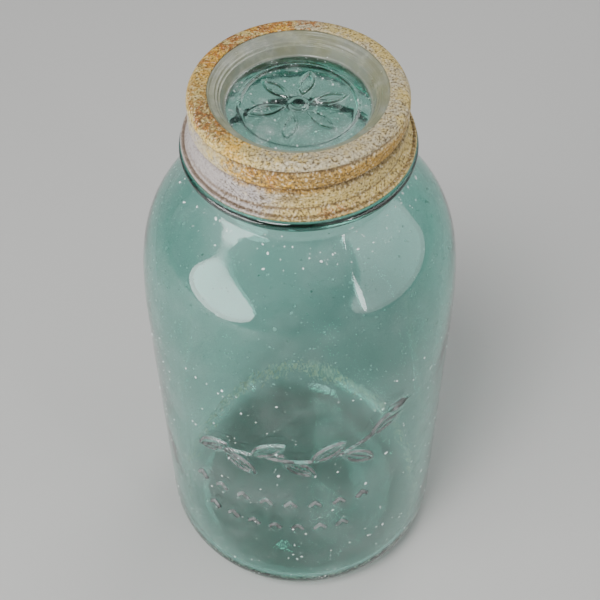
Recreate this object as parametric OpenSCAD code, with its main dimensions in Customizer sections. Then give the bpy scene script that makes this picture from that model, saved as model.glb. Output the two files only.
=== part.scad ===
// Half-gallon canning jar with a glass insert lid, a rubber sealing ring and a zinc screw band.
// Millimetres, +Z up. The origin is on the table under the middle of the jar's foot.
// The closure is screwed down: ring on the lip, insert on the ring, band over all of it.
// -Y is the front. Unscrewing turns the band counter-clockwise seen from above, which raises it.

/* [Jar body] */
// Outside diameter of the straight part of the body
body_d = 115.8; // [104:0.2:130]
// Height from the table to the lip
jar_h = 233; // [195:1:280]
// Thickness of the glass in the wall
wall_t = 4; // [3:0.1:5]
// Thickness of the glass over the foot
base_t = 6; // [4:0.1:9]
// Radius of the rounded heel
heel_r = 16; // [8:0.5:22]
// Width of the flat ring the jar stands on
foot_w = 5; // [3:0.5:8]
// Depth of the hollow under the base
hollow_h = 2; // [1:0.1:3.5]
// Height of the shoulder, from the straight body up to the neck
shoulder_h = 71.4; // [55:0.2:85]

/* [Neck] */
// Outside diameter of the neck at the root of its thread
finish_d = 66.4; // [62:0.1:86]
// Thickness of the glass at the mouth
mouth_t = 4; // [3:0.1:5]
// Height of the threaded finish, from the bead to the lip
finish_h = 14.4; // [13.5:0.1:18]
// How far the bead under the finish stands out from it
bead_w = 6.3; // [5.5:0.1:9]
// Height of the bead
bead_h = 3.6; // [2.5:0.1:4.5]
// Height of the plain neck between the bead and the shoulder
neck_h = 9; // [6:0.5:14]

/* [Thread] */
// Rise of the single-start thread in one turn
thread_pitch = 7; // [6.6:0.1:8]
// Height of the glass thread above the neck
thread_h = 1.3; // [0.9:0.05:1.5]
// Depth of the groove rolled into the band
groove_h = 1.2; // [0.8:0.05:1.3]
// Radial gap between the glass thread and the band's wall
wall_gap = 0.45; // [0.35:0.05:0.8]
// Gap between the flanks that bear on each other
flank_gap = 0.35; // [0.3:0.05:0.6]

/* [Closure] */
// Thickness of the sealing ring
ring_t = 2; // [1.5:0.1:3]
// Thickness of the insert lid's flange
flange_t = 4.2; // [3.5:0.1:5]
// Thickness of the insert lid's floor
insert_t = 4; // [3:0.1:5]
// Depth of the recess in the top of the insert lid
recess_h = 6.2; // [4:0.1:8]
// Thickness of the band's sheet
sheet_t = 0.8; // [0.6:0.05:1.2]
// Width of the band's rim, from its outside to the opening
rim_w = 6.65; // [5:0.05:8]
// Radius of the band's rounded top corner
rim_r = 3.5; // [2.5:0.1:4]
// How far the band's rolled lower edge stands out from its wall
flare_w = 3; // [1.5:0.1:3.5]

/* [Raised ornament] */
// How far the ornament stands out of the glass
relief = 0.7; // [0.3:0.1:1.2]
// Lozenges in the upper row on the body
upper_count = 8; // [4:1:9]
// Lozenges in the lower row on the body
lower_count = 7; // [4:1:8]
// Leaves on the sprig above the rows
leaf_count = 7; // [5:1:11]
// Petals of the rosette in the lid's recess
petal_count = 6; // [4:1:8]

/* [Hidden] */
$fn = 96;

// Glass body
body_r = body_d / 2;
finish_r = finish_d / 2;
mouth_r = finish_r - mouth_t;
bead_z = jar_h - finish_h - bead_h / 2;
bead_r = finish_r + bead_w;
neck_step = 1;
neck_r = finish_r + neck_step;
neck_z = jar_h - finish_h - bead_h - neck_h;
straight_z = neck_z - shoulder_h;
foot_r = body_r - heel_r;
// Handles of the shoulder's curve, as shares of its width and height
shoulder_out = 0.74;
shoulder_drop = 0.315;
shoulder_rise = 0.725;
curve_n = 14;
arc_n = 8;
lip_round = 1.2;
fillet = 0.8;
// Inner corner of the base, and how far the hollow under it tapers
inner_heel_r = heel_r - wall_t;
hollow_taper = 3;

// Thread shared by the neck and the band
seg = 10;
bury = 0.25;
fade = 50;
front = -90;
tooth_root = 1.5;
tooth_tip = 0.6;
band_root = 1.7;
band_tip = 0.8;
rolled_root = 1.5;
rolled_tip = 0.35;

// Band
band_in = finish_r + thread_h + wall_gap;
band_r = band_in + sheet_t;
open_r = band_r - rim_w;
flare_r = band_r + flare_w;
flare_h = 3.6;
flare_top = 3;
edge_r = 0.75;
roll_in = 0.5;
slant = 0.3;
edge_gap = 0.4;
band_low = jar_h - finish_h + edge_gap;
band_top = jar_h + ring_t + flange_t + sheet_t;
// The two teeth meet flank to flank where they are deepest in each other
mesh_r = (finish_r + thread_h + band_in - groove_h) / 2;
glass_half = tooth_root + (tooth_tip - tooth_root) * (mesh_r - finish_r) / thread_h;
band_half = band_root + (band_tip - band_root) * (band_in - mesh_r) / groove_h;
groove_z = band_low + flare_h;
thread_z = groove_z + glass_half + band_half + flank_gap;
groove_from = front + 50;
// The groove ends in the rim's rounded corner
groove_room = 2.1;
groove_low = groove_z + thread_pitch * (groove_from - front) / 360;
groove_turns = (band_top - groove_room - groove_low) / thread_pitch;
// The glass thread ends where its top flank nears the rounded lip
top_room = 0.2;
lip_side = jar_h - lip_round - tooth_root - top_room;
thread_to = front + 360 * (lip_side - thread_z) / thread_pitch;
thread_turns = (lip_side - tooth_root - jar_h + finish_h) / thread_pitch;

// Insert lid
ring_gap = 0.65;
insert_r = band_in - groove_h - ring_gap;
insert_round = 2.5;
plug_gap = 2;
plug_r = mouth_r - plug_gap;
plug_z = jar_h + ring_t + flange_t - recess_h - insert_t;
plug_round = 2;
insert_top = jar_h + ring_t + flange_t;
wall_low = 2.9;
recess_r = plug_r - wall_low;
floor_bevel = 1;
floor_r = recess_r - floor_bevel;
step_w = 0.5;
step_h = 0.8;
ledge_slope = 0.2;
ledge_in = 2;
ledge_edge = 0.8;

// Ornament on the body: one unit is a hundredth of the straight wall's height
unit = (straight_z - heel_r) / 100;
sink = 0.8;
reach = 3;
upper_z = heel_r + 52 * unit;
lower_z = heel_r + 37 * unit;
upper_span = [-42, 24];
lower_span = [-37, 16];
sprig_span = [-41, 26];
sprig_z = heel_r + 73 * unit;
sprig_rise = 14 * unit;
sprig_wave = 3 * unit;
leaf_l = 14 * unit;
leaf_w = 5.6 * unit;
leaf_lean = 38;
stem_w = 1 * unit;
berry_r = 1 * unit;
lozenge_w = 4.4 * unit;
lozenge_h = 6 * unit;
lid_relief = 0.45;
petal_l = 0.42 * floor_r;
petal_w = 0.17 * floor_r;
petal_at = 0.48 * floor_r;
eye_r = 0.14 * floor_r;

// Sealing ring
ring_over = 0.6;
ring_back = 0.3;
ring_in = mouth_r - ring_over;
ring_out = finish_r - ring_back;
ring_round = 0.4;

/* Curves, all in the plane of radius and height */

function bend(cx, cz, r, a0, a1, n = arc_n) =
    [for (i = [0 : n])
        let (a = a0 + (a1 - a0) * i / n)
        [cx + r * cos(a), cz + r * sin(a)]];

function mix3(p, u) =
    pow(1 - u, 3) * p[0]
    + 3 * u * pow(1 - u, 2) * p[1]
    + 3 * u * u * (1 - u) * p[2]
    + pow(u, 3) * p[3];

function slope3(p, u) =
    pow(1 - u, 2) * (p[1] - p[0])
    + 2 * u * (1 - u) * (p[2] - p[1])
    + u * u * (p[3] - p[2]);

// The shoulder from the straight body up to the neck
shoulder_w = body_r - neck_r;
shoulder_curve = [
    [body_r, straight_z],
    [body_r, straight_z + shoulder_rise * shoulder_h],
    [neck_r + shoulder_out * shoulder_w, neck_z - shoulder_drop * shoulder_h],
    [neck_r, neck_z]
];

// The same shoulder, moved inwards by the thickness of the glass
function inner_shoulder(u) =
    let (p = mix3(shoulder_curve, u), d = slope3(shoulder_curve, u))
    p + wall_t * [-d[1], d[0]] / norm(d);

function jar_outside() = concat(
    [[0, hollow_h], [foot_r - foot_w - hollow_taper, hollow_h], [foot_r - foot_w, 0]],
    bend(foot_r, heel_r, heel_r, -90, 0),
    [for (i = [0 : curve_n]) mix3(shoulder_curve, i / curve_n)],
    [[neck_r, bead_z - bead_h / 2 - fillet], [neck_r + fillet, bead_z - bead_h / 2]],
    bend(bead_r - bead_h / 2, bead_z, bead_h / 2, -90, 90),
    [[finish_r + fillet, jar_h - finish_h], [finish_r, jar_h - finish_h + fillet]],
    bend(finish_r - lip_round, jar_h - lip_round, lip_round, 0, 90, 4)
);

function jar_inside() = concat(
    bend(mouth_r + lip_round, jar_h - lip_round, lip_round, 90, 180, 4),
    [[mouth_r, bead_z]],
    [for (i = [curve_n : -1 : 0]) inner_shoulder(i / curve_n)],
    bend(foot_r, base_t + inner_heel_r, inner_heel_r, 0, -90),
    [[0, base_t]]
);

/* Threads */

function rib(a, root, side, rise, half_root, half_tip, z0) =
    let (z = z0 + thread_pitch * (a - front) / 360,
         r1 = root - side * bury,
         r2 = root + side * rise)
    [[r1 * cos(a), r1 * sin(a), z - half_root],
     [r1 * cos(a), r1 * sin(a), z + half_root],
     [r2 * cos(a), r2 * sin(a), z + half_tip],
     [r2 * cos(a), r2 * sin(a), z - half_tip]];

function strip(i, k) =
    let (a = 4 * i + k, b = 4 * i + (k + 1) % 4)
    [[b, a, a + 4], [b, a + 4, b + 4]];

function turned(f, side) = side > 0 ? f : [f[2], f[1], f[0]];

// A rib swept up the helix. side is 1 for a rib that stands outwards and -1 for one inwards.
module thread_rib(root, side, height, half_root, half_tip, a0, turns, z0) {
    n = round(turns * 360 / seg);
    stations = [for (i = [0 : n])
        let (t = min(1, i * seg / fade, (n - i) * seg / fade),
             rise = height * t - bury / 2 * (1 - t))
        rib(a0 + i * seg, root, side, rise, half_root, half_tip, z0)];
    sides = [for (i = [0 : n - 1]) for (k = [0 : 3]) each strip(i, k)];
    caps = [[0, 1, 2], [0, 2, 3], [4 * n + 2, 4 * n + 1, 4 * n], [4 * n + 3, 4 * n + 2, 4 * n]];
    polyhedron(
        points = [for (s = stations) each s],
        faces = [for (f = concat(sides, caps)) turned(f, side)],
        convexity = 8
    );
}

/* Raised ornament */

// A pointed leaf, the overlap of two discs
module leaf_shape(l, w) {
    r = (l * l + w * w) / (4 * w);
    intersection() {
        translate([0, r - w / 2]) circle(r);
        translate([0, w / 2 - r]) circle(r);
    }
}

// Places a flat shape on the body: a degrees right of the front, turned t degrees.
// It passes through the surface, and raised() trims it to an even height.
module on_body(a, z, t = 0)
    rotate([0, 0, a])
    translate([0, reach - body_r, z])
    rotate([90, 0, 0])
    rotate([0, 0, t])
    linear_extrude(2 * reach)
    children();

module raised()
    intersection() {
        union() children();
        translate([0, 0, heel_r]) cylinder(r = body_r + relief, h = straight_z - heel_r);
    }

function along(span, k) = span[0] + (span[1] - span[0]) * k;
function stem_a(k) = along(sprig_span, k);
function stem_z(k) = sprig_z + sprig_rise * k + sprig_wave * sin(360 * k);

module sprig() {
    n = leaf_count - 1;
    for (i = [0 : n - 1]) {
        k = (i + 0.5) / n;
        run = body_r * (stem_a((i + 1) / n) - stem_a(i / n)) * PI / 180;
        lift = stem_z((i + 1) / n) - stem_z(i / n);
        on_body(stem_a(k), stem_z(k), atan2(lift, run))
            square([norm([run, lift]) + stem_w / 2, stem_w], center = true);
    }
    for (i = [0 : n]) {
        k = i / n;
        side = i % 2 == 0 ? 1 : -1;
        on_body(stem_a(k), stem_z(k), side * leaf_lean)
            translate([leaf_l / 2, 0]) leaf_shape(leaf_l, leaf_w);
    }
    for (i = [1 : 2 : n]) {
        on_body(stem_a(i / n), stem_z(i / n) + 2.2 * berry_r) circle(berry_r);
    }
}

module lozenge_row(count, span, z)
    for (i = [0 : count - 1])
        on_body(along(span, i / (count - 1)), z)
            polygon([[-lozenge_w / 2, 0], [0, -lozenge_h / 2], [lozenge_w / 2, 0], [0, lozenge_h / 2]]);

module rosette() {
    for (i = [0 : petal_count - 1])
        rotate([0, 0, 360 * i / petal_count])
        translate([petal_at, 0])
        leaf_shape(petal_l, petal_w);
    circle(eye_r);
}

/* Parts */

module jar() {
    first = seg * floor((thread_to - 360 * thread_turns) / seg);
    color([0.45, 0.72, 0.68, 0.45])
    union() {
        rotate_extrude()
            polygon(concat(jar_outside(), jar_inside()));
        thread_rib(finish_r, 1, thread_h, tooth_root, tooth_tip, first, thread_turns, thread_z);
        raised() {
            sprig();
            lozenge_row(upper_count, upper_span, upper_z);
            lozenge_row(lower_count, lower_span, lower_z);
        }
    }
}

module sealing_ring() {
    color([0.16, 0.15, 0.14])
    rotate_extrude()
        polygon(concat(
            bend(ring_out - ring_round, jar_h + ring_round, ring_round, -90, 0, 4),
            bend(ring_out - ring_round, jar_h + ring_t - ring_round, ring_round, 0, 90, 4),
            bend(ring_in + ring_round, jar_h + ring_t - ring_round, ring_round, 90, 180, 4),
            bend(ring_in + ring_round, jar_h + ring_round, ring_round, 180, 270, 4)
        ));
}

module glass_insert() {
    color([0.74, 0.82, 0.79, 0.45])
    union() {
        rotate_extrude()
            polygon(concat(
                [[0, plug_z]],
                bend(plug_r - plug_round, plug_z + plug_round, plug_round, -90, 0, 6),
                [[plug_r, jar_h + ring_t], [insert_r, jar_h + ring_t]],
                bend(insert_r - insert_round, insert_top - insert_round, insert_round, 0, 90, 6),
                [[open_r - step_w, insert_top],
                 [open_r - 2 * step_w, insert_top - step_h],
                 [recess_r + ledge_in, insert_top - step_h - ledge_slope],
                 [recess_r + ledge_in - ledge_edge, insert_top - step_h - ledge_slope - ledge_edge],
                 [recess_r, insert_top - recess_h + floor_bevel],
                 [floor_r, insert_top - recess_h],
                 [0, insert_top - recess_h]]
            ));
        translate([0, 0, insert_top - recess_h - sink])
            linear_extrude(sink + lid_relief)
            rosette();
    }
}

// Half the band's sheet: its outside going up, then its inside coming down
function band_outline() = concat(
    [[flare_r - edge_r, band_low]],
    bend(flare_r - edge_r, band_low + edge_r, edge_r, -90, 90, 6),
    [[flare_r - edge_r - roll_in, band_low + 2 * edge_r], [band_r, band_low + flare_top]],
    bend(band_r - rim_r, band_top - rim_r, rim_r, 0, 90),
    bend(open_r + sheet_t / 2, band_top - sheet_t / 2, sheet_t / 2, 90, 270, 4),
    bend(band_r - rim_r, band_top - rim_r, rim_r - sheet_t, 90, 0),
    [[band_in, band_low + flare_top - slant], [flare_r - 2 * edge_r - roll_in - slant / 3, band_low]]
);

module screw_band() {
    color([0.80, 0.76, 0.68])
    difference() {
        union() {
            rotate_extrude()
                polygon(band_outline());
            thread_rib(band_in, -1, groove_h, band_root, band_tip,
                       groove_from, groove_turns, groove_z);
        }
        thread_rib(band_r, -1, groove_h, rolled_root, rolled_tip,
                   groove_from, groove_turns, groove_z);
    }
}

jar();
sealing_ring();
glass_insert();
screw_band();
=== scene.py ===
# %% [markdown]
# # A half-gallon canning jar with a glass insert lid
#
# The real thing has four pieces: a jar of blue-green pressed glass, a rubber ring on its lip, a
# clear glass insert that sits on the ring, and an open-topped band of zinc sheet that screws down
# over both. The lesson models each one the way it is made. Glass and zinc are both round, so each
# starts as the outline of half a section, drawn point by point and spun about the axis, like a
# potter's template. What isn't round is then pressed into the wall: the thread, and the raised
# sprig and lozenges on the front. Last come the finishes, the dust, and a plain studio.
#
# The solid model gives every size, and the new pieces follow its boxes.

import math

import bpy
import numpy as np
from mathutils import Matrix, Vector, noise
from mathutils.bvhtree import BVHTree


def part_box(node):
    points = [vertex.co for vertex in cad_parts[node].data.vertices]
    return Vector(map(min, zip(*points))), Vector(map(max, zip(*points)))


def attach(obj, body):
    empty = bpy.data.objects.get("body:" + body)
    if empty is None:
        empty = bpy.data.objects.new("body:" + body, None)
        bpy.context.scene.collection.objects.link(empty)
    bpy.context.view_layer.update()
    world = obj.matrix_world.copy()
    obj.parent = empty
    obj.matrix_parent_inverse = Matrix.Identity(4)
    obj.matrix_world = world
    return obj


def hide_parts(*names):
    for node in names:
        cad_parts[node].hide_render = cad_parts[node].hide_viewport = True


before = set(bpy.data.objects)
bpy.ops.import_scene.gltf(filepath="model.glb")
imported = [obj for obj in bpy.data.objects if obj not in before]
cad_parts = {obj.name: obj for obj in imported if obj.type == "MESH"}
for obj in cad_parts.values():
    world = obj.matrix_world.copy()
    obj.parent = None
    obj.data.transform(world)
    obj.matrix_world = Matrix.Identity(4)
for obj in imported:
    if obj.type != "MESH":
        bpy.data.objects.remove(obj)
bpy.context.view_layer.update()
MM = 0.001  # one millimetre, in metres

jar_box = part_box("jar")
ring_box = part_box("sealing_ring")
lid_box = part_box("glass_insert")
band_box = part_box("screw_band")
body_r = jar_box[1][0]
lip_z = jar_box[1][2]
lid_r = lid_box[1][0]
plug_z = lid_box[0][2]
flare_r = band_box[1][0]
band_low = band_box[0][2]
band_top = band_box[1][2]
print("body radius", round(body_r / MM, 2), "lip at", round(lip_z / MM, 2), "mm")
print("band from", round(band_low / MM, 2), "to", round(band_top / MM, 2), "mm")

# %% [markdown]
# ## Outlines
#
# An outline is a list of corners, each with the radius it is rounded to, in the plane of radius
# and height. `rounded` turns it into points, and `closer` adds points wherever the wall will be
# pressed into shape, because a face can only bend where it has vertices. `spun` draws the points
# as one chain of edges by extruding a vertex, then spins the chain about the axis. The jar's front,
# which carries the ornament, is spun in finer steps than its back.

# %% Functions that draw and spin an outline


def rounded(corners, per_turn=40):
    """Points of an outline whose corners are (radius, height) or (radius, height, rounding)."""
    points = []
    for i, corner in enumerate(corners):
        here = Vector(corner[:2])
        rounding = corner[2] if len(corner) > 2 else 0
        if rounding == 0 or i in (0, len(corners) - 1):
            points.append(here)
            continue
        back = (Vector(corners[i - 1][:2]) - here).normalized()
        ahead = (Vector(corners[i + 1][:2]) - here).normalized()
        half = back.angle(ahead) / 2
        middle = here + (back + ahead).normalized() * rounding / math.sin(half)
        first = here + back * rounding / math.tan(half) - middle
        sweep = math.pi - 2 * half
        turn = 1 if back.y * ahead.x - back.x * ahead.y > 0 else -1
        steps = max(2, round(per_turn * sweep / (2 * math.pi)))
        for k in range(steps + 1):
            a = turn * sweep * k / steps
            points.append(middle + Vector((
                first.x * math.cos(a) - first.y * math.sin(a),
                first.x * math.sin(a) + first.y * math.cos(a))))
    return points


def closer(points, step):
    """The same outline with points no further apart than step(radius, height)."""
    dense = [points[0]]
    for a, b in zip(points, points[1:]):
        count = max(1, math.ceil((b - a).length / step((a + b) / 2)))
        dense += [a.lerp(b, k / count) for k in range(1, count + 1)]
    return dense


FRONT_FROM = -49  # degrees from the front, to the right
FRONT_TO = 33


def spun(name, points, sectors, closed):
    """Draws the outline and spins it in sectors, (degrees, steps) from the front's right edge."""
    bpy.ops.object.select_all(action="DESELECT")
    start = math.radians(-90 + FRONT_TO)
    x, y = math.cos(start), math.sin(start)
    bpy.ops.mesh.primitive_plane_add(size=MM)
    piece = bpy.context.object
    piece.name = piece.data.name = name
    bpy.ops.object.mode_set(mode="EDIT")
    bpy.ops.mesh.select_all(action="SELECT")
    bpy.ops.mesh.merge(type="CENTER")
    bpy.ops.transform.translate(value=(x * points[0].x, y * points[0].x, points[0].y))
    for a, b in zip(points, points[1:]):
        step = (x * (b.x - a.x), y * (b.x - a.x), b.y - a.y)
        bpy.ops.mesh.extrude_region_move(TRANSFORM_OT_translate={"value": step})
    bpy.ops.mesh.select_all(action="SELECT")
    if closed:
        bpy.ops.mesh.remove_doubles(threshold=0.001 * MM)
    for degrees, steps in sectors:
        bpy.ops.mesh.spin(steps=steps, angle=math.radians(degrees), center=(0, 0, 0),
                          axis=(0, 0, 1), use_auto_merge=False)
    bpy.ops.mesh.select_all(action="SELECT")
    bpy.ops.mesh.remove_doubles(threshold=0.002 * MM)
    bpy.ops.mesh.normals_make_consistent(inside=False)
    bpy.ops.object.mode_set(mode="OBJECT")
    bpy.ops.object.shade_smooth()
    return piece


print("a rounded corner has", len(rounded([(0, 0), (1, 0, 0.2), (1, 1)])) - 2, "points")
print("the fine front of the jar runs from", FRONT_FROM, "to", FRONT_TO, "degrees")

# %% [markdown]
# ## Pressing a wall into shape
#
# Threads are rolled into sheet and ornament is cut into the mould, so both are a wall pushed in or
# out. `pressed` moves each vertex along its radius by what a height function says for its angle
# and height. Angles are in degrees from the front, positive to the right.

# %% Functions that press a wall


def smooth_step(x, low, high):
    """0 below low, 1 above high and a soft slope between, for arrays."""
    t = np.clip((x - low) / (high - low), 0, 1)
    return t * t * (3 - 2 * t)


def vertices_of(piece):
    """The piece's vertices as an array, in metres."""
    flat = np.empty(len(piece.data.vertices) * 3)
    piece.data.vertices.foreach_get("co", flat)
    return flat.reshape(-1, 3)


def put_vertices(piece, points):
    """Writes the array of points back into the piece."""
    piece.data.vertices.foreach_set("co", points.reshape(-1))
    piece.data.update()


def pressed(piece, height):
    """Moves each vertex outwards by height(angle, radius, z), in metres."""
    p = vertices_of(piece)
    r = np.hypot(p[:, 0], p[:, 1])
    angle = np.degrees(np.arctan2(p[:, 0], -p[:, 1]))
    out = height(angle, r, p[:, 2])
    scale = (r + out) / np.maximum(r, 1e-9)
    p[:, 0] *= scale
    p[:, 1] *= scale
    put_vertices(piece, p)
    print(piece.name, "pressed by up to", round(float(np.abs(out).max()) / MM, 2), "mm")


def thread(angle, z, front_z, first, last, pitch, root, tip, fade):
    """How much of a right-hand thread stands at each angle and height, from 0 to 1.

    The thread passes the front at front_z, and runs from the angle first to the angle last."""
    most = np.zeros_like(z)
    for turn in range(-3, 4):
        a = angle + 360 * turn
        away = np.abs(z - front_z - pitch * a / 360)
        tooth = 1 - smooth_step(away, tip, root)
        ends = np.clip(np.minimum(a - first, last - a) / fade, 0, 1)
        most = np.maximum(most, tooth * ends)
    return most


def wavy(piece, where, amount, scale, seed):
    """Lets a wall wander by a little, as blown glass and old sheet metal do."""
    p = vertices_of(piece)
    r = np.hypot(p[:, 0], p[:, 1])
    share = where(r, p[:, 2])
    shift = np.array([
        noise.noise(Vector(v) / scale + Vector((seed, 0, 0))) if s > 0 else 0
        for v, s in zip(p, share)])
    grow = 1 + shift * share * amount / np.maximum(r, 1e-9)
    p[:, 0] *= grow
    p[:, 1] *= grow
    put_vertices(piece, p)
    print(piece.name, "wanders by up to", round(amount / MM, 2), "mm")


# %% [markdown]
# ## The jar
#
# The body is a straight tube with a rounded heel and a shallow hollow under the base. It leans in
# along one long curve to a short neck, with a bead above it and the thread above that. One closed
# outline goes up the outside and down the inside, so the glass has its real thickness, which is
# what makes its edges dark and its walls bend what lies behind them.

# %% Draw the jar's outline and spin it
wall = 4 * MM
base_t = 6 * MM
heel = 16 * MM
neck_r = 34.2 * MM
neck_z = lip_z - 27 * MM
straight_z = neck_z - 71.4 * MM
plain_low = 55 * MM
plain_high = straight_z - 5 * MM
hollow = 2 * MM
bead_r = 39.5 * MM
bead_z = (lip_z - 18 * MM, lip_z - 14.4 * MM)
finish_r = 33.2 * MM
mouth_r = finish_r - wall


def shoulder(u):
    """A point of the shoulder's curve and its direction. u runs from 0 at the body to 1."""
    reach = body_r - neck_r
    rise = neck_z - straight_z
    a = Vector((body_r, straight_z))
    b = Vector((body_r, straight_z + 0.725 * rise))
    c = Vector((neck_r + 0.74 * reach, neck_z - 0.315 * rise))
    d = Vector((neck_r, neck_z))
    v = 1 - u
    point = a * v ** 3 + b * 3 * u * v * v + c * 3 * u * u * v + d * u ** 3
    along = (b - a) * v * v + (c - b) * 2 * u * v + (d - c) * u * u
    return point, along.normalized()


CURVE = 26  # steps along the shoulder
outer_curve = [shoulder(k / CURVE)[0] for k in range(CURVE + 1)]
inner_curve = []
for k in range(CURVE, -1, -1):
    point, along = shoulder(k / CURVE)
    inner_curve.append(point + wall * Vector((-along.y, along.x)))

foot_in = body_r - heel - 5 * MM
jar_outline = rounded(
    [(0, hollow), (foot_in - 7 * MM, hollow, 12 * MM), (foot_in, 0, 3 * MM), (body_r, 0, heel)]
    + [(body_r, plain_low), (body_r, plain_high)]
    + [tuple(p) for p in outer_curve[:-1]]
    + [(neck_r, neck_z, 2 * MM), (neck_r, bead_z[0], 1 * MM), (bead_r, bead_z[0], 1.7 * MM),
       (bead_r, bead_z[1], 1.7 * MM), (finish_r, bead_z[1], 0.8 * MM),
       (finish_r, lip_z, 1.4 * MM), (mouth_r, lip_z, 1.4 * MM), (mouth_r, bead_z[0], 12 * MM)]
    + [tuple(p) for p in inner_curve]
    + [(body_r - wall, base_t, heel - wall), (0, base_t)]
)


def jar_step(at):
    """Fine steps where ornament or thread will stand, and coarse ones elsewhere."""
    if at.x > body_r - 0.1 * MM and plain_low < at.y < plain_high:
        return 0.56 * MM
    if at.x > finish_r - 0.1 * MM and at.y > bead_z[1]:
        return 0.5 * MM
    return 6 * MM


jar = spun("jar_glass", closer(jar_outline, jar_step),
           [(FRONT_TO - FRONT_FROM, 176), (360 - FRONT_TO + FRONT_FROM, 96)], closed=False)
print("jar:", len(jar.data.polygons), "faces")

# %% [markdown]
# ## The sprig, the lozenges and the thread on the glass
#
# The front of the jar carries a raised leafy sprig with two rows of small lozenges under it. A
# mould gives such ornament a soft edge and an even height, so each shape is a distance, measured
# on the surface, that a soft step turns into height. A leaf has a rim and a vein and is lower in
# between, because that's how a cutter outlines it.

# %% Draw the ornament
unit = (straight_z - heel) / 100
relief = 0.9 * MM
edge = 0.32 * MM
stem_from, stem_to = -41, 26
leaf_count, leaf_lean = 7, 38
leaf_length, leaf_width = 14 * unit, 5.8 * unit
berry_r, berry_up = 1.1 * unit, 2.2 * unit
lozenge_wide, lozenge_tall = 2.3 * unit, 3.1 * unit
LOZENGE_ROWS = ((8, -42, 24, 52), (7, -37, 16, 37))  # how many, angles, height in units


def leaf_distance(x, y, length, width):
    """Distance outside (+) or inside (-) a pointed leaf that lies along x."""
    r = (length ** 2 + width ** 2) / (4 * width)
    off = r - width / 2
    return np.maximum(np.hypot(x, y - off), np.hypot(x, y + off)) - r


def turned(x, y, degrees):
    """x and y as read along axes turned by degrees."""
    c, s = math.cos(math.radians(degrees)), math.sin(math.radians(degrees))
    return x * c + y * s, y * c - x * s


def raised(distance):
    """1 inside a shape and 0 outside, with the mould's soft edge."""
    return 1 - smooth_step(distance, -edge, edge * 0.4)


def ridge(distance, half=0.55 * MM):
    """A soft line that stands where the distance is 0 and reaches half to either side."""
    return 1 - smooth_step(np.abs(distance), half * 0.5, half + edge)


def stem_at(k):
    """Where the sprig's stem is, as (distance round the body, height). k runs from 0 to 1."""
    a = stem_from + (stem_to - stem_from) * k
    return body_r * math.radians(a), heel + (73 + 14 * k + 3 * math.sin(2 * math.pi * k)) * unit


def standing(s, h):
    """How much of the ornament stands at s round the body and at height h, from 0 to 1."""
    high = np.zeros_like(s)
    for k in range(81):
        x, y = stem_at(k / 80)
        high = np.maximum(high, ridge(np.hypot(s - x, h - y), 0.5 * MM))
    for i in range(leaf_count):
        x, y = stem_at(i / (leaf_count - 1))
        side = 1 if i % 2 == 0 else -1
        u, v = turned(s - x, h - y, side * leaf_lean)
        d = leaf_distance(u - leaf_length / 2, v, leaf_length, leaf_width)
        vein = ridge(v, 0.3 * MM) * (d < 0)
        leaf = np.maximum(ridge(d + 0.7 * MM), np.maximum(0.3 * raised(d), 0.8 * vein))
        high = np.maximum(high, leaf)
        if i % 2 == 1:
            high = np.maximum(high, raised(np.hypot(s - x, h - y - berry_up) - berry_r))
    wide, tall = lozenge_wide, lozenge_tall
    for count, first, last, row in LOZENGE_ROWS:
        for i in range(count):
            x = body_r * math.radians(first + (last - first) * i / (count - 1))
            u, v = s - x, h - heel - row * unit
            d = (np.abs(u) / wide + np.abs(v) / tall - 1) * wide * tall / math.hypot(wide, tall)
            high = np.maximum(high, raised(d))
    return high


print("leaves", round(leaf_length / MM, 1), "mm long, with",
      sum(row[0] for row in LOZENGE_ROWS), "lozenges under them")

# %% [markdown]
# ## Press the front and the neck
#
# Only the straight outer wall takes the ornament and only the neck takes the thread, so each height
# function first picks its vertices. The upper edge of each raised shape is a ledge where dust lies,
# and the mesh keeps a note of it, so that the finish makes it paler as dust and as a painted
# highlight. Last, the wall is let wander a little.

# %% Press the ornament and the thread


def ornament(angle, r, z):
    """The ornament's height everywhere, and a note of the upper edges, where dust and a painted
    highlight go.
    """
    on_body = (r > body_r - 0.05 * MM) & (z > 50 * MM) & (z < straight_z - 3 * MM)
    s = body_r * np.radians(angle[on_body])
    h = z[on_body]
    out = np.zeros_like(z)
    out[on_body] = relief * standing(s, h)
    ledge_dust_and_highlight = np.zeros_like(z)
    ledge_dust_and_highlight[on_body] = np.clip(standing(s, h - 0.4 * MM) - standing(s, h + 0.4 * MM), 0, 1)
    note = jar.data.attributes.new("ledge_dust_and_highlight", "FLOAT", "POINT")
    note.data.foreach_set("value", ledge_dust_and_highlight)
    return out


PITCH = 7 * MM  # rise of the thread in one turn
groove_front = band_low + 3.6 * MM
glass_front = groove_front + 2.25 * MM
glass_last = 360 * (lip_z - 2.9 * MM - glass_front) / PITCH
glass_length = 515  # degrees of thread
glass_depth = 1.25 * MM


def glass_thread(angle, r, z):
    """The height of the thread that stands on the neck."""
    on_neck = (np.abs(r - finish_r) < 0.05 * MM) & (z > bead_z[1])
    stands = thread(angle, z, glass_front, glass_last - glass_length, glass_last, PITCH,
                    root=1.7 * MM, tip=0.5 * MM, fade=50)
    return glass_depth * stands * on_neck


def inner_wall(r, z):
    """Picks the inner wall, and both faces of the shoulder."""
    return (r < body_r - 1.5 * MM) * (z > 10 * MM) * (z < 200 * MM) * (r > 20 * MM)


def outer_wall(r, z):
    """Picks the straight outer wall."""
    return (r > body_r - 1 * MM) * (z > 4 * MM) * (z < 180 * MM)


pressed(jar, ornament)
pressed(jar, glass_thread)
wavy(jar, inner_wall, amount=0.1 * MM, scale=34 * MM, seed=3)
wavy(jar, outer_wall, amount=0.05 * MM, scale=20 * MM, seed=8)
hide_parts("jar")
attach(jar, "jar")
print("jar:", sum(len(f.vertices) - 2 for f in jar.data.polygons), "triangles")

# %% [markdown]
# ## The sealing ring
#
# A flat ring of rubber, cut from a tube, so its edges are square with a slight round. It lies on
# the lip and the insert's flange lies on it.

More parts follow.
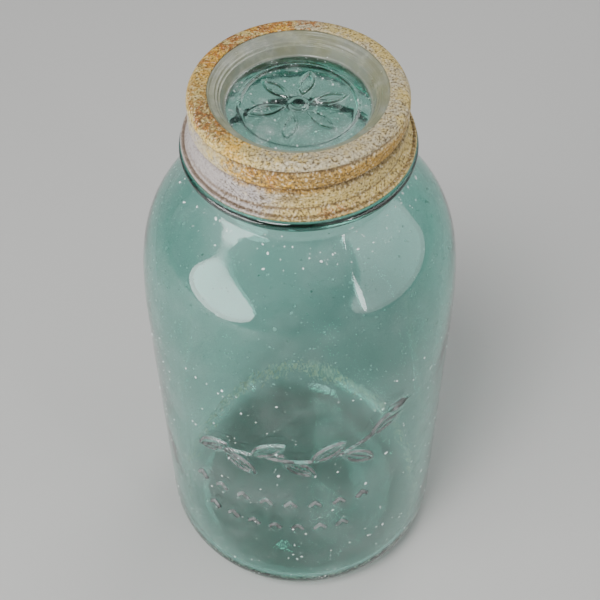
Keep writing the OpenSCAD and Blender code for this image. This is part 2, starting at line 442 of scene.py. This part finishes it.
# %% Spin the sealing ring
ring_in = mouth_r - 0.6 * MM
ring_out = ring_box[1][0]
ring_z = (ring_box[0][2], ring_box[1][2])
ring_outline = rounded([
    ((ring_in + ring_out) / 2, ring_z[0]), (ring_out, ring_z[0], 0.4 * MM),
    (ring_out, ring_z[1], 0.4 * MM), (ring_in, ring_z[1], 0.4 * MM),
    (ring_in, ring_z[0], 0.4 * MM), ((ring_in + ring_out) / 2, ring_z[0])])
seal = spun("sealing_ring_rubber", ring_outline, [(360, 120)], closed=True)
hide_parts("sealing_ring")
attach(seal, "seal")
print("sealing ring:", len(seal.data.polygons), "faces")

# %% [markdown]
# ## The glass insert
#
# The lid's disc hangs into the mouth like a shallow dish. Its flange has a rounded outer edge that
# the band holds down, and its bowl steps down in several fine rings to a flat floor. A rosette of
# petals stands on the floor, raised by the mould.

# %% Spin the insert and raise its rosette
lid_top = lid_box[1][2]
floor_z = lid_top - 6.2 * MM
floor_r = 23.3 * MM
plug_r = mouth_r - 2 * MM
# the bowl's fine rings, as radius and depth in millimetres
rings = [(27.3, 0.9), (26.7, 1.0), (26.3, 1.7), (25.7, 1.85), (25.4, 2.7), (24.9, 2.85), (24.6, 4.0)]
lid_outline = rounded(
    [(0, plug_z), (plug_r, plug_z, 2 * MM), (plug_r, ring_z[1], 0.6 * MM),
     (lid_r, ring_z[1], 0.6 * MM), (lid_r, lid_top, 2.5 * MM), (28.6 * MM, lid_top, 0.4 * MM),
     (28.1 * MM, lid_top - 0.8 * MM, 0.3 * MM)]
    + [(r * MM, lid_top - drop * MM, 0.2 * MM) for r, drop in rings]
    + [(floor_r + 0.6 * MM, floor_z, 1 * MM), (0, floor_z)])


def lid_step(at):
    """Fine steps on the floor, where the rosette will stand."""
    return 0.5 * MM if at.y > floor_z - 0.1 * MM and at.x < floor_r else 1.5 * MM


lid = spun("insert_glass", closer(lid_outline, lid_step), [(360, 240)], closed=False)
ring_r = 0.82 * floor_r
heart_r = 0.13 * floor_r
rosette_height = 0.5 * MM


def rosette(piece):
    """Raises a rosette of petals, ringed by a fine line, on the floor of the recess."""
    p = vertices_of(piece)
    on_floor = (np.abs(p[:, 2] - floor_z) < 0.02 * MM) & (np.hypot(p[:, 0], p[:, 1]) < floor_r)
    x, y = p[on_floor, 0], p[on_floor, 1]
    high = ridge(np.hypot(x, y) - ring_r, 0.25 * MM)
    high = np.maximum(high, raised(np.hypot(x, y) - heart_r))
    for i in range(6):
        u, v = turned(x, y, 15 + 60 * i)
        d = leaf_distance(u - 0.45 * floor_r, v, 0.5 * floor_r, 0.2 * floor_r)
        petal = np.maximum(ridge(d + 0.5 * MM, 0.4 * MM), 0.4 * raised(d))
        high = np.maximum(high, petal)
    p[on_floor, 2] += rosette_height * high
    put_vertices(piece, p)


rosette(lid)
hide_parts("glass_insert")
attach(lid, "insert")
print("insert:", len(lid.data.polygons), "faces")

# %% [markdown]
# ## The screw band
#
# The band is spun from thin zinc. The rim turns in over the insert, the wall carries one rolled
# thread, and the lower edge flares out and ends in a rolled bead with a fine crease above it. The
# thread is rolled into both faces of the sheet at once, so what is a groove outside is a ridge
# inside, and that ridge is what catches under the glass thread.

# %% Spin the band and roll its thread
sheet = 0.8 * MM
band_r = flare_r - 3 * MM
band_in = band_r - sheet
rim_in = band_r - 6.65 * MM
rim_round = 3.5 * MM
roll = 0.95 * MM
band_outline = rounded([
    (flare_r - 2.4 * MM, band_low + 0.5 * MM),
    (flare_r - 1.6 * MM, band_low, 0.4 * MM),
    (flare_r, band_low, roll), (flare_r, band_low + 1.9 * MM, roll),
    (flare_r - 1.4 * MM, band_low + 1.55 * MM, 0.12 * MM),
    (flare_r - 1.8 * MM, band_low + 2.2 * MM, 0.4 * MM),
    (band_r, band_low + 3.6 * MM, 1.2 * MM), (band_r, band_top, rim_round),
    (rim_in, band_top, 0.38 * MM), (rim_in, band_top - sheet, 0.38 * MM),
    (band_in, band_top - sheet, rim_round - sheet), (band_in, band_low + 3.2 * MM, 1 * MM),
    (flare_r - 2.4 * MM, band_low + 0.5 * MM)])


def band_step(at):
    """Fine steps on the wall that will be rolled."""
    return 0.32 * MM if at.x > band_in - 1 * MM and at.y > band_low + 3 * MM else 0.6 * MM


band = spun("zinc_band", closer(band_outline, band_step), [(360, 300)], closed=True)
groove_first = 50  # degrees from the front
groove_last = 360 * (band_top - 2.1 * MM - groove_front) / PITCH
groove_depth = 1.4 * MM


def rolled_thread(angle, r, z):
    """How far the thread is rolled into the wall."""
    wall_part = (r > band_in - 2 * MM) * (z > band_low + 3 * MM)
    stands = thread(angle, z, groove_front, groove_first, groove_last, PITCH,
                    root=1.6 * MM, tip=0.1 * MM, fade=60)
    return -groove_depth * stands * wall_part


def above_edge(r, z):
    """Picks all of the band but the bottom of its rolled edge."""
    return (z > band_low + 1 * MM) * 1.0


pressed(band, rolled_thread)
wavy(band, above_edge, amount=0.12 * MM, scale=7 * MM, seed=21)
wavy(band, above_edge, amount=0.1 * MM, scale=25 * MM, seed=5)
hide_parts("screw_band")
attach(band, "band")
print("band:", len(band.data.polygons), "faces")

# %% [markdown]
# ## Dust and residue
#
# An old jar from a shed carries dust outside and a crust where water dried in its heel. Both are
# tiny grains, so one flat grain is modelled once and copied many times into one mesh. Each copy
# is laid on the real surface, found by a nearest-point search, and turned to its normal.

# %% Functions that model one grain and scatter its copies


def new_grain():
    """A flat, uneven pebble of 20 faces, 2 units wide, that lies on its back."""
    bpy.ops.object.select_all(action="DESELECT")
    bpy.ops.mesh.primitive_ico_sphere_add(subdivisions=1, radius=1)
    grain = bpy.context.object
    bpy.ops.object.mode_set(mode="EDIT")
    bpy.ops.mesh.select_all(action="SELECT")
    bpy.ops.transform.resize(value=(1, 0.75, 0.45))
    bpy.ops.transform.vertex_random(offset=0.15, seed=4)
    bpy.ops.object.mode_set(mode="OBJECT")
    return grain


def scattered(name, grain, surface, points, sizes):
    """One mesh of grains, each laid on the surface nearest to its point."""
    base = vertices_of(grain)
    faces = np.array([list(f.vertices) for f in grain.data.polygons])
    tree = BVHTree.FromObject(surface, bpy.context.evaluated_depsgraph_get())
    verts, all_faces = [], []
    for i, (point, size) in enumerate(zip(points, sizes)):
        spot, normal, _, _ = tree.find_nearest(Vector(point))
        turn = normal.to_track_quat("Z", "Y").to_matrix() @ Matrix.Rotation(i * 2.4, 3, "Z")
        local = base * size * (1, 1, 0.7)
        verts.append(local @ np.array(turn).T + np.array(spot + normal * size * 0.1))
        all_faces.append(faces + len(base) * i)
    mesh = bpy.data.meshes.new(name)
    mesh.from_pydata(np.vstack(verts).tolist(), [], np.vstack(all_faces).tolist())
    piece = bpy.data.objects.new(name, mesh)
    bpy.context.collection.objects.link(piece)
    print(name, "has", len(points), "grains")
    return piece


def round_points(angles, radii, heights):
    """Points round the axis, for angles in degrees from the front."""
    a = np.radians(angles)
    return np.stack([radii * np.sin(a), -radii * np.cos(a), heights], axis=1)


grain = new_grain()
print("one grain has", len(grain.data.polygons), "faces")

# %% [markdown]
# ## Three layers of grains
#
# Dust falls all over the jar and thickest on the shoulder, the crust keeps to the ring where water
# stood, mostly at the back, and a few finer grains lie on the insert's floor. Sizes are lognormal,
# many small and a few large. The generator is seeded, so each run draws the same places and sizes.
# The spun meshes keep their shape from run to run but not the order of their faces, and a few
# dozen grains of the dust are turned another way when that order changes.

# %% Scatter the dust, the crust and the dust on the insert
rng = np.random.default_rng(47)
count, on_shoulder = 2600, 1100
heights = rng.uniform(8 * MM, 205 * MM, count)
heights[:on_shoulder] = rng.uniform(145 * MM, 208 * MM, on_shoulder)
angles = rng.uniform(-180, 180, count)
sizes = np.minimum(0.25 * MM * rng.lognormal(0, 0.5, count), 0.9 * MM)
reach = np.interp(heights, [straight_z, neck_z], [body_r, neck_r])
dust = scattered("dust", grain, jar, round_points(angles, reach + 2 * MM, heights), sizes)
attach(dust, "jar")

count = 1900
angles = np.where(rng.random(count) < 0.75,
                  rng.normal(178, 62, count), rng.uniform(-180, 180, count))
heights = np.clip(rng.normal(12.5 * MM, 1.4 * MM, count), 7 * MM, 17.5 * MM)
curve = heel - wall
radii = body_r - heel + np.sqrt(curve ** 2 - (base_t + curve - heights) ** 2)
sizes = np.minimum(0.28 * MM * rng.lognormal(0, 0.5, count), 0.9 * MM)
residue = scattered("heel_residue", grain, jar,
                    round_points(angles, radii - 1 * MM, heights), sizes)
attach(residue, "jar")

count = 380
angles = rng.uniform(-180, 180, count)
radii = floor_r * np.sqrt(rng.random(count))
sizes = np.minimum(0.15 * MM * rng.lognormal(0, 0.5, count), 0.5 * MM)
lid_dust = scattered("lid_dust", grain, lid,
                     round_points(angles, radii, np.full(count, floor_z + 1 * MM)), sizes)
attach(lid_dust, "insert")
bpy.data.objects.remove(grain)

# %% [markdown]
# ## Finishes
#
# Every finish is built from the same few parts. The shader reads the object's own coordinates, so
# noise sits still on the piece and has a size in real millimetres. `patch` lays one colour over
# another inside a window of angle and height, and noise eats into the window's edge, so a stain
# ends raggedly, the way corrosion spreads.

# %% Functions that add nodes


def new_material(name):
    """A new material, its node tree and its shader."""
    material = bpy.data.materials.new(name)
    material.use_nodes = True
    tree = material.node_tree
    return material, tree, tree.nodes["Principled BSDF"]


def add(tree, kind, inputs=None, **settings):
    """Adds a node, sets its properties, and sets or links its inputs."""
    made = tree.nodes.new(kind)
    for key, value in settings.items():
        setattr(made, key, value)
    for key, value in (inputs or {}).items():
        if isinstance(value, bpy.types.NodeSocket):
            tree.links.new(value, made.inputs[key])
        else:
            made.inputs[key].default_value = value
    return made


def maths(tree, operation, a, b=0.0):
    """One sum, for numbers or sockets."""
    return add(tree, "ShaderNodeMath", {0: a, 1: b}, operation=operation).outputs[0]


def speckle(tree, per_metre, detail=3.0, rough=0.6, stretch=(1, 1, 1)):
    """Noise from 0 to 1 whose blobs number about per_metre in a metre."""
    where = add(tree, "ShaderNodeTexCoord").outputs["Object"]
    sized = add(tree, "ShaderNodeVectorMath", {0: where, 1: stretch}, operation="MULTIPLY")
    made = add(tree, "ShaderNodeTexNoise", {
        "Vector": sized.outputs[0], "Scale": per_metre, "Detail": detail, "Roughness": rough})
    return made.outputs["Fac"]


def slope(tree, value, low, high, start=0.0, end=1.0):
    """start below low, end above high, smooth between."""
    made = add(tree, "ShaderNodeMapRange", {
        "Value": value, "From Min": low, "From Max": high, "To Min": start, "To Max": end},
        interpolation_type="SMOOTHSTEP")
    return made.outputs[0]


def window(tree, value, low, high, soft):
    """1 between low and high, 0 outside, with soft edges."""
    up = slope(tree, value, low - soft, low + soft)
    down = slope(tree, value, high - soft, high + soft, 1.0, 0.0)
    return maths(tree, "MULTIPLY", up, down)


def blend(tree, share, a, b):
    """Colour a where share is 0 and colour b where it is 1."""
    made = add(tree, "ShaderNodeMix", data_type="RGBA")
    for key, value in ((0, share), (6, a), (7, b)):
        if isinstance(value, bpy.types.NodeSocket):
            tree.links.new(value, made.inputs[key])
        elif key == 0:
            made.inputs[key].default_value = value
        else:
            made.inputs[key].default_value = (*value, 1)
    return made.outputs[2]


print("functions for nodes are ready")

# %% [markdown]
# ## Where a finish is, and how it is worn
#
# A stain on a round piece is placed by its angle and height, so `place` works those out from the
# object's coordinates. An angle jumps from 180 to -180 behind the piece, so a second angle, counted
# from the back, serves the stains that cross it. `shaken` roughens a place by noise, and `bumped`
# lets a noise tilt the surface.

# %% Functions that place a finish and put it on


def place(tree):
    """Angle from the front and from the back in degrees, radius and height in millimetres."""
    where = add(tree, "ShaderNodeTexCoord").outputs["Object"]
    axis = add(tree, "ShaderNodeSeparateXYZ", {0: where}).outputs
    minus_y = maths(tree, "MULTIPLY", axis["Y"], -1.0)
    front = maths(tree, "DEGREES", maths(tree, "ARCTAN2", axis["X"], minus_y))
    back = maths(tree, "DEGREES", maths(tree, "ARCTAN2", axis["X"], axis["Y"]))
    flat = add(tree, "ShaderNodeCombineXYZ", {"X": axis["X"], "Y": axis["Y"]})
    radius = add(tree, "ShaderNodeVectorMath", {0: flat.outputs[0]}, operation="LENGTH")
    radius = maths(tree, "MULTIPLY", radius.outputs["Value"], 1000.0)
    return {"front": front, "back": back, "radius": radius,
            "height": maths(tree, "MULTIPLY", axis["Z"], 1000.0)}


def shaken(tree, value, noise_value, amount):
    """The value moved up and down by the noise."""
    moved = maths(tree, "MULTIPLY", maths(tree, "SUBTRACT", noise_value, 0.5), amount)
    return maths(tree, "ADD", value, moved)


def bumped(tree, shader, height, distance):
    """Tilts the surface as if the height, from 0 to 1, stood as tall as distance."""
    made = add(tree, "ShaderNodeBump", {"Height": height, "Distance": distance, "Strength": 1.0})
    tree.links.new(made.outputs[0], shader.inputs["Normal"])


def wear(piece, material):
    """Gives the piece this one material."""
    piece.data.materials.clear()
    piece.data.materials.append(material)
    print(piece.name, "wears", material.name, "of", len(material.node_tree.nodes), "nodes")


# %% [markdown]
# ## Blue-green glass
#
# The colour of this glass is iron in the melt, so it belongs in the volume, not on the surface:
# thin walls look almost clear and the heel and the bead, where light runs a long way inside, go
# deep green. The surface is nearly smooth, with a fine ripple from the mould and a thin haze of
# old wash water that comes and goes in patches.

# %% Blue-green glass
GLASS_IOR = 1.5
MELT_BLUE_GREEN = (0.10, 0.70, 0.61, 1)
WASH_FILM_AND_HIGHLIGHT, LIME = (0.97, 1.0, 0.99), (0.95, 0.92, 0.80)

glass, tree, shader = new_material("blue_green_glass")
shader.inputs["IOR"].default_value = GLASS_IOR
here = place(tree)
haze = slope(tree, speckle(tree, 28, 5.0, 0.65), 0.48, 0.8, 0.015, 0.14)
inside = slope(tree, here["radius"], 54.5, 53.6, 0.0, 1.0)
crust = maths(tree, "MULTIPLY", inside, window(tree, here["height"], 10.8, 15.0, 1.2))
crust = maths(tree, "MULTIPLY", crust, slope(tree, speckle(tree, 220, 4.0, 0.7), 0.40, 0.62))
film = slope(tree, speckle(tree, 24, 5.0, 0.7), 0.42, 0.72, 0.0, 0.06)
base = blend(tree, crust, WASH_FILM_AND_HIGHLIGHT, LIME)
tree.links.new(base, shader.inputs["Base Color"])
see_through = maths(tree, "SUBTRACT", slope(tree, crust, 0.0, 1.0, 1.0, 0.45), film)
# The ornament's upper edges are made paler and less clear: dust, and a painted highlight.
ledge_dust_and_highlight = add(tree, "ShaderNodeAttribute", attribute_name="ledge_dust_and_highlight").outputs["Fac"]
caught_dust_and_highlight = maths(tree, "MULTIPLY", ledge_dust_and_highlight, slope(tree, speckle(tree, 300, 3.0), 0.3, 0.6, 0.08, 0.28))
see_through = maths(tree, "SUBTRACT", see_through, caught_dust_and_highlight)
tree.links.new(see_through, shader.inputs["Transmission Weight"])
streaks = slope(tree, speckle(tree, 55, 3.0, 0.6, (1, 1, 0.25)), 0.5, 0.85, 0.0, 0.08)
tree.links.new(maths(tree, "ADD", haze, streaks), shader.inputs["Roughness"])
ripple = maths(tree, "ADD", speckle(tree, 60, 1.0, 0.4),
               maths(tree, "MULTIPLY", speckle(tree, 260, 2.0, 0.5), 0.12))
bumped(tree, shader, ripple, 0.07 * MM)
melt = add(tree, "ShaderNodeVolumeAbsorption", {"Color": MELT_BLUE_GREEN, "Density": 150.0})
tree.links.new(melt.outputs[0], tree.nodes["Material Output"].inputs["Volume"])
wear(jar, glass)

# %% [markdown]
# ## Clear glass for the insert
#
# The insert is nearly clear. Its floor is clean enough to see through and its stepped wall is
# drawn rougher, warmer and less clear.

# %% Clear glass for the insert
MELT_GREY_GREEN = (0.35, 0.62, 0.55, 1)
RINSED, BEIGE_WALL = (0.93, 0.98, 0.95), (0.40, 0.40, 0.25)

clear, tree, shader = new_material("clear_glass")
here = place(tree)
on_wall = slope(tree, here["radius"], 22.6, 24.2)
dirt = speckle(tree, 160, 4.0, 0.65)
shader.inputs["IOR"].default_value = GLASS_IOR
# The stepped wall is drawn beige and less clear.
beige_wall_share = maths(tree, "MULTIPLY", on_wall, slope(tree, speckle(tree, 90, 3.0, 0.6), 0.3, 0.7, 0.6, 1.0))
haze = slope(tree, speckle(tree, 130, 5.0, 0.7), 0.45, 0.72, 0.0, 0.2)
see_through = maths(tree, "SUBTRACT", slope(tree, beige_wall_share, 0.0, 1.0, 1.0, 0.45), haze)
tree.links.new(see_through, shader.inputs["Transmission Weight"])
tint = blend(tree, beige_wall_share, RINSED, BEIGE_WALL)
tree.links.new(tint, shader.inputs["Base Color"])
rough = maths(tree, "ADD", slope(tree, dirt, 0.4, 0.75, 0.01, 0.16),
              maths(tree, "MULTIPLY", on_wall, 0.14))
tree.links.new(rough, shader.inputs["Roughness"])
bumped(tree, shader, speckle(tree, 180, 2.0, 0.5), 0.1 * MM)
melt = add(tree, "ShaderNodeVolumeAbsorption", {"Color": MELT_GREY_GREEN, "Density": 150.0})
tree.links.new(melt.outputs[0], tree.nodes["Material Output"].inputs["Volume"])
wear(lid, clear)

# %% [markdown]
# ## Rubber, dust and residue
#
# Old rubber is nearly black and dull, with a bloom of grey. Dust is pale and rough, and residue
# is beige lime.

# %% Rubber, dust and residue
RUBBER, BLOOM = (0.025, 0.022, 0.02), (0.11, 0.10, 0.09)
POWDERS = (  # name, light and dark colour, pieces
    ("pale_dust", (0.90, 0.92, 0.90), (0.70, 0.74, 0.71), (dust, lid_dust)),
    ("lime_residue", (0.92, 0.86, 0.70), (0.70, 0.60, 0.40), (residue,)))

rubber, tree, shader = new_material("old_rubber")
bloom = slope(tree, speckle(tree, 400, 4.0), 0.45, 0.75, 0.0, 0.6)
tree.links.new(blend(tree, bloom, RUBBER, BLOOM), shader.inputs["Base Color"])
shader.inputs["Roughness"].default_value = 0.75
bumped(tree, shader, speckle(tree, 1500, 2.0), 0.06 * MM)
wear(seal, rubber)

for name, light, dark, pieces in POWDERS:
    powder, tree, shader = new_material(name)
    mixed = slope(tree, speckle(tree, 300, 2.0), 0.35, 0.65)
    tree.links.new(blend(tree, mixed, light, dark), shader.inputs["Base Color"])
    shader.inputs["Roughness"].default_value = 0.8
    for piece in pieces:
        wear(piece, powder)

# %% [markdown]
# ## Corroded zinc
#
# Zinc left damp grows a chalky crust, and iron from the shelf stains it gold, orange and brown.
# The crust is laid first and each stain is a patch over it, given by its colour, its range of
# angle, its range of height, how soft it is and how strong. Fine grain breaks all of them up.

# %% The band's crust
zinc, tree, shader = new_material("corroded_zinc")
here = place(tree)
broad = speckle(tree, 95, 4.0, 0.6)
middle = speckle(tree, 420, 4.0, 0.65)
fine = speckle(tree, 1050, 3.0, 0.7)
grit = speckle(tree, 1250, 2.0, 0.65)
front = shaken(tree, shaken(tree, here["front"], broad, 46.0), middle, 20.0)
back = shaken(tree, here["back"], broad, 46.0)
height = shaken(tree, shaken(tree, here["height"], broad, 3.2), middle, 2.2)

CHALK = (0.52, 0.45, 0.29)
GREY = (0.22, 0.175, 0.12)
LAVENDER = (0.40, 0.36, 0.355)
CREAM = (0.60, 0.44, 0.13)
GOLD = (0.68, 0.37, 0.03)
RUST = (0.36, 0.11, 0.018)
TAN = (0.40, 0.235, 0.045)
UMBER = (0.15, 0.082, 0.030)
OLIVE = (0.30, 0.25, 0.12)
PIT = (0.10, 0.065, 0.028)
SALT = (0.86, 0.80, 0.62)

colour = blend(tree, slope(tree, middle, 0.42, 0.66), CHALK, CREAM)
colour = blend(tree, slope(tree, fine, 0.5, 0.62, 0.0, 0.7), colour, GREY)
print("the crust is made of", len(tree.nodes), "nodes")

# %% [markdown]
# ## Stains on the band
#
# The wall comes first, from the bluish left side to the gold and brown thread, and the rim last,
# gold at the left, rusty at the back and pale at the right. Later patches lie over earlier ones.

# %% Stain the band
RIM = (236.6, 250)  # heights of the rim


def patch(colour, stain, angle, angles, heights, soft, strength, grains=None):
    """Lays a stain over the colour. soft is in degrees and millimetres, grains break it up."""
    share = window(tree, angle, angles[0], angles[1], soft[0])
    share = maths(tree, "MULTIPLY", share, window(tree, height, heights[0], heights[1], soft[1]))
    if grains is not None:
        share = maths(tree, "MULTIPLY", share, slope(tree, grains, 0.44, 0.56))
    return blend(tree, maths(tree, "MULTIPLY", share, strength), colour, stain)


colour = patch(colour, LAVENDER, front, (-110, -14), (219, 229.5), (14, 0.8), 0.95)
colour = patch(colour, LAVENDER, front, (-112, -58), (227, 237), (12, 1.2), 0.9, middle)
colour = patch(colour, CREAM, front, (-10, 120), (219, 229), (14, 0.9), 0.75)
colour = patch(colour, TAN, front, (-34, 66), (228.4, 236.6), (7, 0.8), 0.95)
colour = patch(colour, GOLD, front, (-36, 4), (228.6, 235.4), (8, 0.8), 0.75, middle)
colour = patch(colour, GOLD, front, (18, 75), (231.4, 236.8), (8, 0.7), 0.7, fine)
colour = patch(colour, OLIVE, front, (12, 100), (228.6, 230.8), (10, 0.6), 0.7)
colour = patch(colour, UMBER, front, (-34, 95), (229, 236.4), (10, 0.8), 0.75,
               maths(tree, "SUBTRACT", fine, 0.05))
colour = patch(colour, RUST, front, (-24, -12), (229, 238), (4, 1.0), 0.85, broad)
colour = patch(colour, UMBER, front, (-11, 3), (225.6, 229.4), (4, 0.7), 0.55)
colour = patch(colour, RUST, front, (12, 28), (220, 222.4), (5, 0.4), 0.7, fine)
colour = patch(colour, CREAM, front, (-178, -22), RIM, (8, 0.8), 0.85)
colour = patch(colour, GOLD, front, (-62, -30), RIM, (7, 0.8), 0.85, middle)
colour = patch(colour, CREAM, front, (-56, -38), (235, 239.5), (7, 0.8), 0.8)
colour = patch(colour, RUST, front, (-90, -50), (238.6, 250), (9, 0.4), 0.9, middle)
colour = patch(colour, UMBER, front, (-88, -48), (238.8, 250), (9, 0.3), 0.8, fine)
colour = patch(colour, TAN, front, (-150, -80), RIM, (12, 0.8), 0.8, middle)
colour = patch(colour, GOLD, front, (-176, -98), RIM, (10, 0.8), 0.9, broad)
colour = patch(colour, RUST, back, (-70, 18), RIM, (8, 0.8), 0.8, middle)
colour = patch(colour, CHALK, front, (8, 140), RIM, (10, 0.8), 0.5, middle)
colour = patch(colour, CREAM, front, (60, 165), RIM, (10, 0.8), 0.85, broad)
print("with its stains the band has", len(tree.nodes), "nodes")

# %% [markdown]
# ## Dirt and painted shade in the thread and crease, pits and salt
#
# Dirt and painted shade darken the bottom of the thread, which is found by unwinding it: the height
# less the rise for the angle repeats once a pitch. The crease above the rolled edge is darkened by
# painted shade as well. Fine dark pits and pale salt cover the band, and are faint on its smooth
# left side.

# %% Dirt, painted shade, pits and salt on the band
PITCH_MM = 7.0
THREAD_START = 219.1  # height at the front where the unwinding begins
turns = maths(tree, "SUBTRACT", here["height"],
              maths(tree, "MULTIPLY", here["front"], PITCH_MM / 360))
turns = maths(tree, "DIVIDE", maths(tree, "SUBTRACT", turns, THREAD_START), PITCH_MM)
turns = maths(tree, "FRACT", turns)
# A dark line along the bottom of the thread: dirt, and painted shade in the groove.
valley_dirt_and_shade = window(tree, turns, 0.44, 0.56, 0.06)
valley_dirt_and_shade = maths(tree, "MULTIPLY", valley_dirt_and_shade, window(tree, here["height"], 221.5, 238.0, 0.6))
colour = blend(tree, maths(tree, "MULTIPLY", valley_dirt_and_shade, 0.8), colour, UMBER)
edge_share = window(tree, here["height"], 218.5, 219.9, 0.25)
colour = blend(tree, maths(tree, "MULTIPLY", edge_share, 0.7), colour, CREAM)
# Painted shade: the crease above the rolled edge is darkened.
crease_painted_shade = window(tree, here["height"], 220.45, 220.85, 0.15)
colour = blend(tree, maths(tree, "MULTIPLY", crease_painted_shade, 0.65), colour, UMBER)
smooth_wall = window(tree, here["front"], -108, -42, 10)
smooth_wall = maths(tree, "MULTIPLY", smooth_wall, window(tree, here["height"], 200, 236, 1))
grainy = slope(tree, smooth_wall, 0.0, 1.0, 1.0, 0.35)
pits = maths(tree, "MULTIPLY", slope(tree, grit, 0.52, 0.62, 0.0, 0.9), grainy)
colour = blend(tree, pits, colour, PIT)
salt = maths(tree, "MULTIPLY", slope(tree, grit, 0.44, 0.32, 0.0, 0.55), grainy)
colour = blend(tree, salt, colour, SALT)
tree.links.new(colour, shader.inputs["Base Color"])
tree.links.new(slope(tree, middle, 0.3, 0.7, 0.62, 0.9), shader.inputs["Roughness"])
shader.inputs["Metallic"].default_value = 0.1
crust = maths(tree, "ADD", maths(tree, "MULTIPLY", middle, 0.8),
              maths(tree, "MULTIPLY", fine, 0.5))
bumped(tree, shader, crust, 0.55 * MM)
wear(band, zinc)

# %% [markdown]
# ## Studio
#
# The floor is pale and plain. Two soft panels stand low on either side, so that each leaves a
# broad patch of light on the shoulder, with a narrow strip beside the right one. A small panel high
# on the left lights the band and a weak one lights it from behind.

# %% Floor and lights
FLOOR_COLOUR = (0.56, 0.55, 0.53, 1)
SKY_COLOUR = (0.62, 0.66, 0.70, 1)
AIM = Vector((0, 0, 0.19))

bpy.ops.object.select_all(action="DESELECT")
bpy.ops.mesh.primitive_plane_add(size=6, location=(0, 0, -0.05 * MM))
floor = bpy.context.object
floor.name = "floor"
card, tree, shader = new_material("pale_floor")
shader.inputs["Base Color"].default_value = FLOOR_COLOUR
shader.inputs["Roughness"].default_value = 0.85
wear(floor, card)


def panel(name, azimuth, elevation, distance, size, watts):
    """A soft panel, azimuth degrees right of the front, facing the jar's shoulder."""
    a, e = math.radians(azimuth), math.radians(elevation)
    spot = AIM + distance * Vector((
        math.sin(a) * math.cos(e), -math.cos(a) * math.cos(e), math.sin(e)))
    bpy.ops.object.light_add(type="AREA", location=spot)
    lamp = bpy.context.object
    lamp.name = name
    lamp.data.shape = "ELLIPSE"
    lamp.data.size, lamp.data.size_y = size
    lamp.data.energy = watts
    lamp.rotation_euler = (AIM - spot).to_track_quat("-Z", "Y").to_euler()
    print(name, "gives", watts, "W from", azimuth, "degrees")


panel("left_panel", -55, 6, distance=1.1, size=(1.05, 0.62), watts=15)
panel("right_panel", 72, 12, distance=1.3, size=(2.0, 0.8), watts=9)
panel("right_streak", 42, 14, distance=1.2, size=(0.07, 0.5), watts=1.2)
panel("key_panel", -30, 60, distance=1.3, size=(0.45, 0.45), watts=12)
panel("back_panel", 150, 50, distance=1.4, size=(0.7, 0.7), watts=5)

world = bpy.data.worlds.new("soft_room")
bpy.context.scene.world = world
world.use_nodes = True
world.node_tree.nodes["Background"].inputs["Color"].default_value = SKY_COLOUR
world.node_tree.nodes["Background"].inputs["Strength"].default_value = 0.35

# %% [markdown]
# ## Camera
#
# The camera looks down from high in front. It is close, so the lid is drawn larger than the foot,
# and it is rolled by half a degree, as a camera held by hand is.

# %% Camera
ELEVATION = math.radians(51.03)
DISTANCE = 0.46657
AIM_HEIGHT = 0.13363
ROLL = math.radians(-0.47)

bpy.ops.object.camera_add()
camera = bpy.context.object
camera.location = (0, -DISTANCE * math.cos(ELEVATION), AIM_HEIGHT + DISTANCE * math.sin(ELEVATION))
tilt = Matrix.Rotation(math.pi / 2 - ELEVATION, 3, "X")
camera.rotation_euler = (tilt @ Matrix.Rotation(ROLL, 3, "Z")).to_euler()
camera.data.lens = 73.14
bpy.context.scene.camera = camera
print("camera at", [round(v, 3) for v in camera.location])
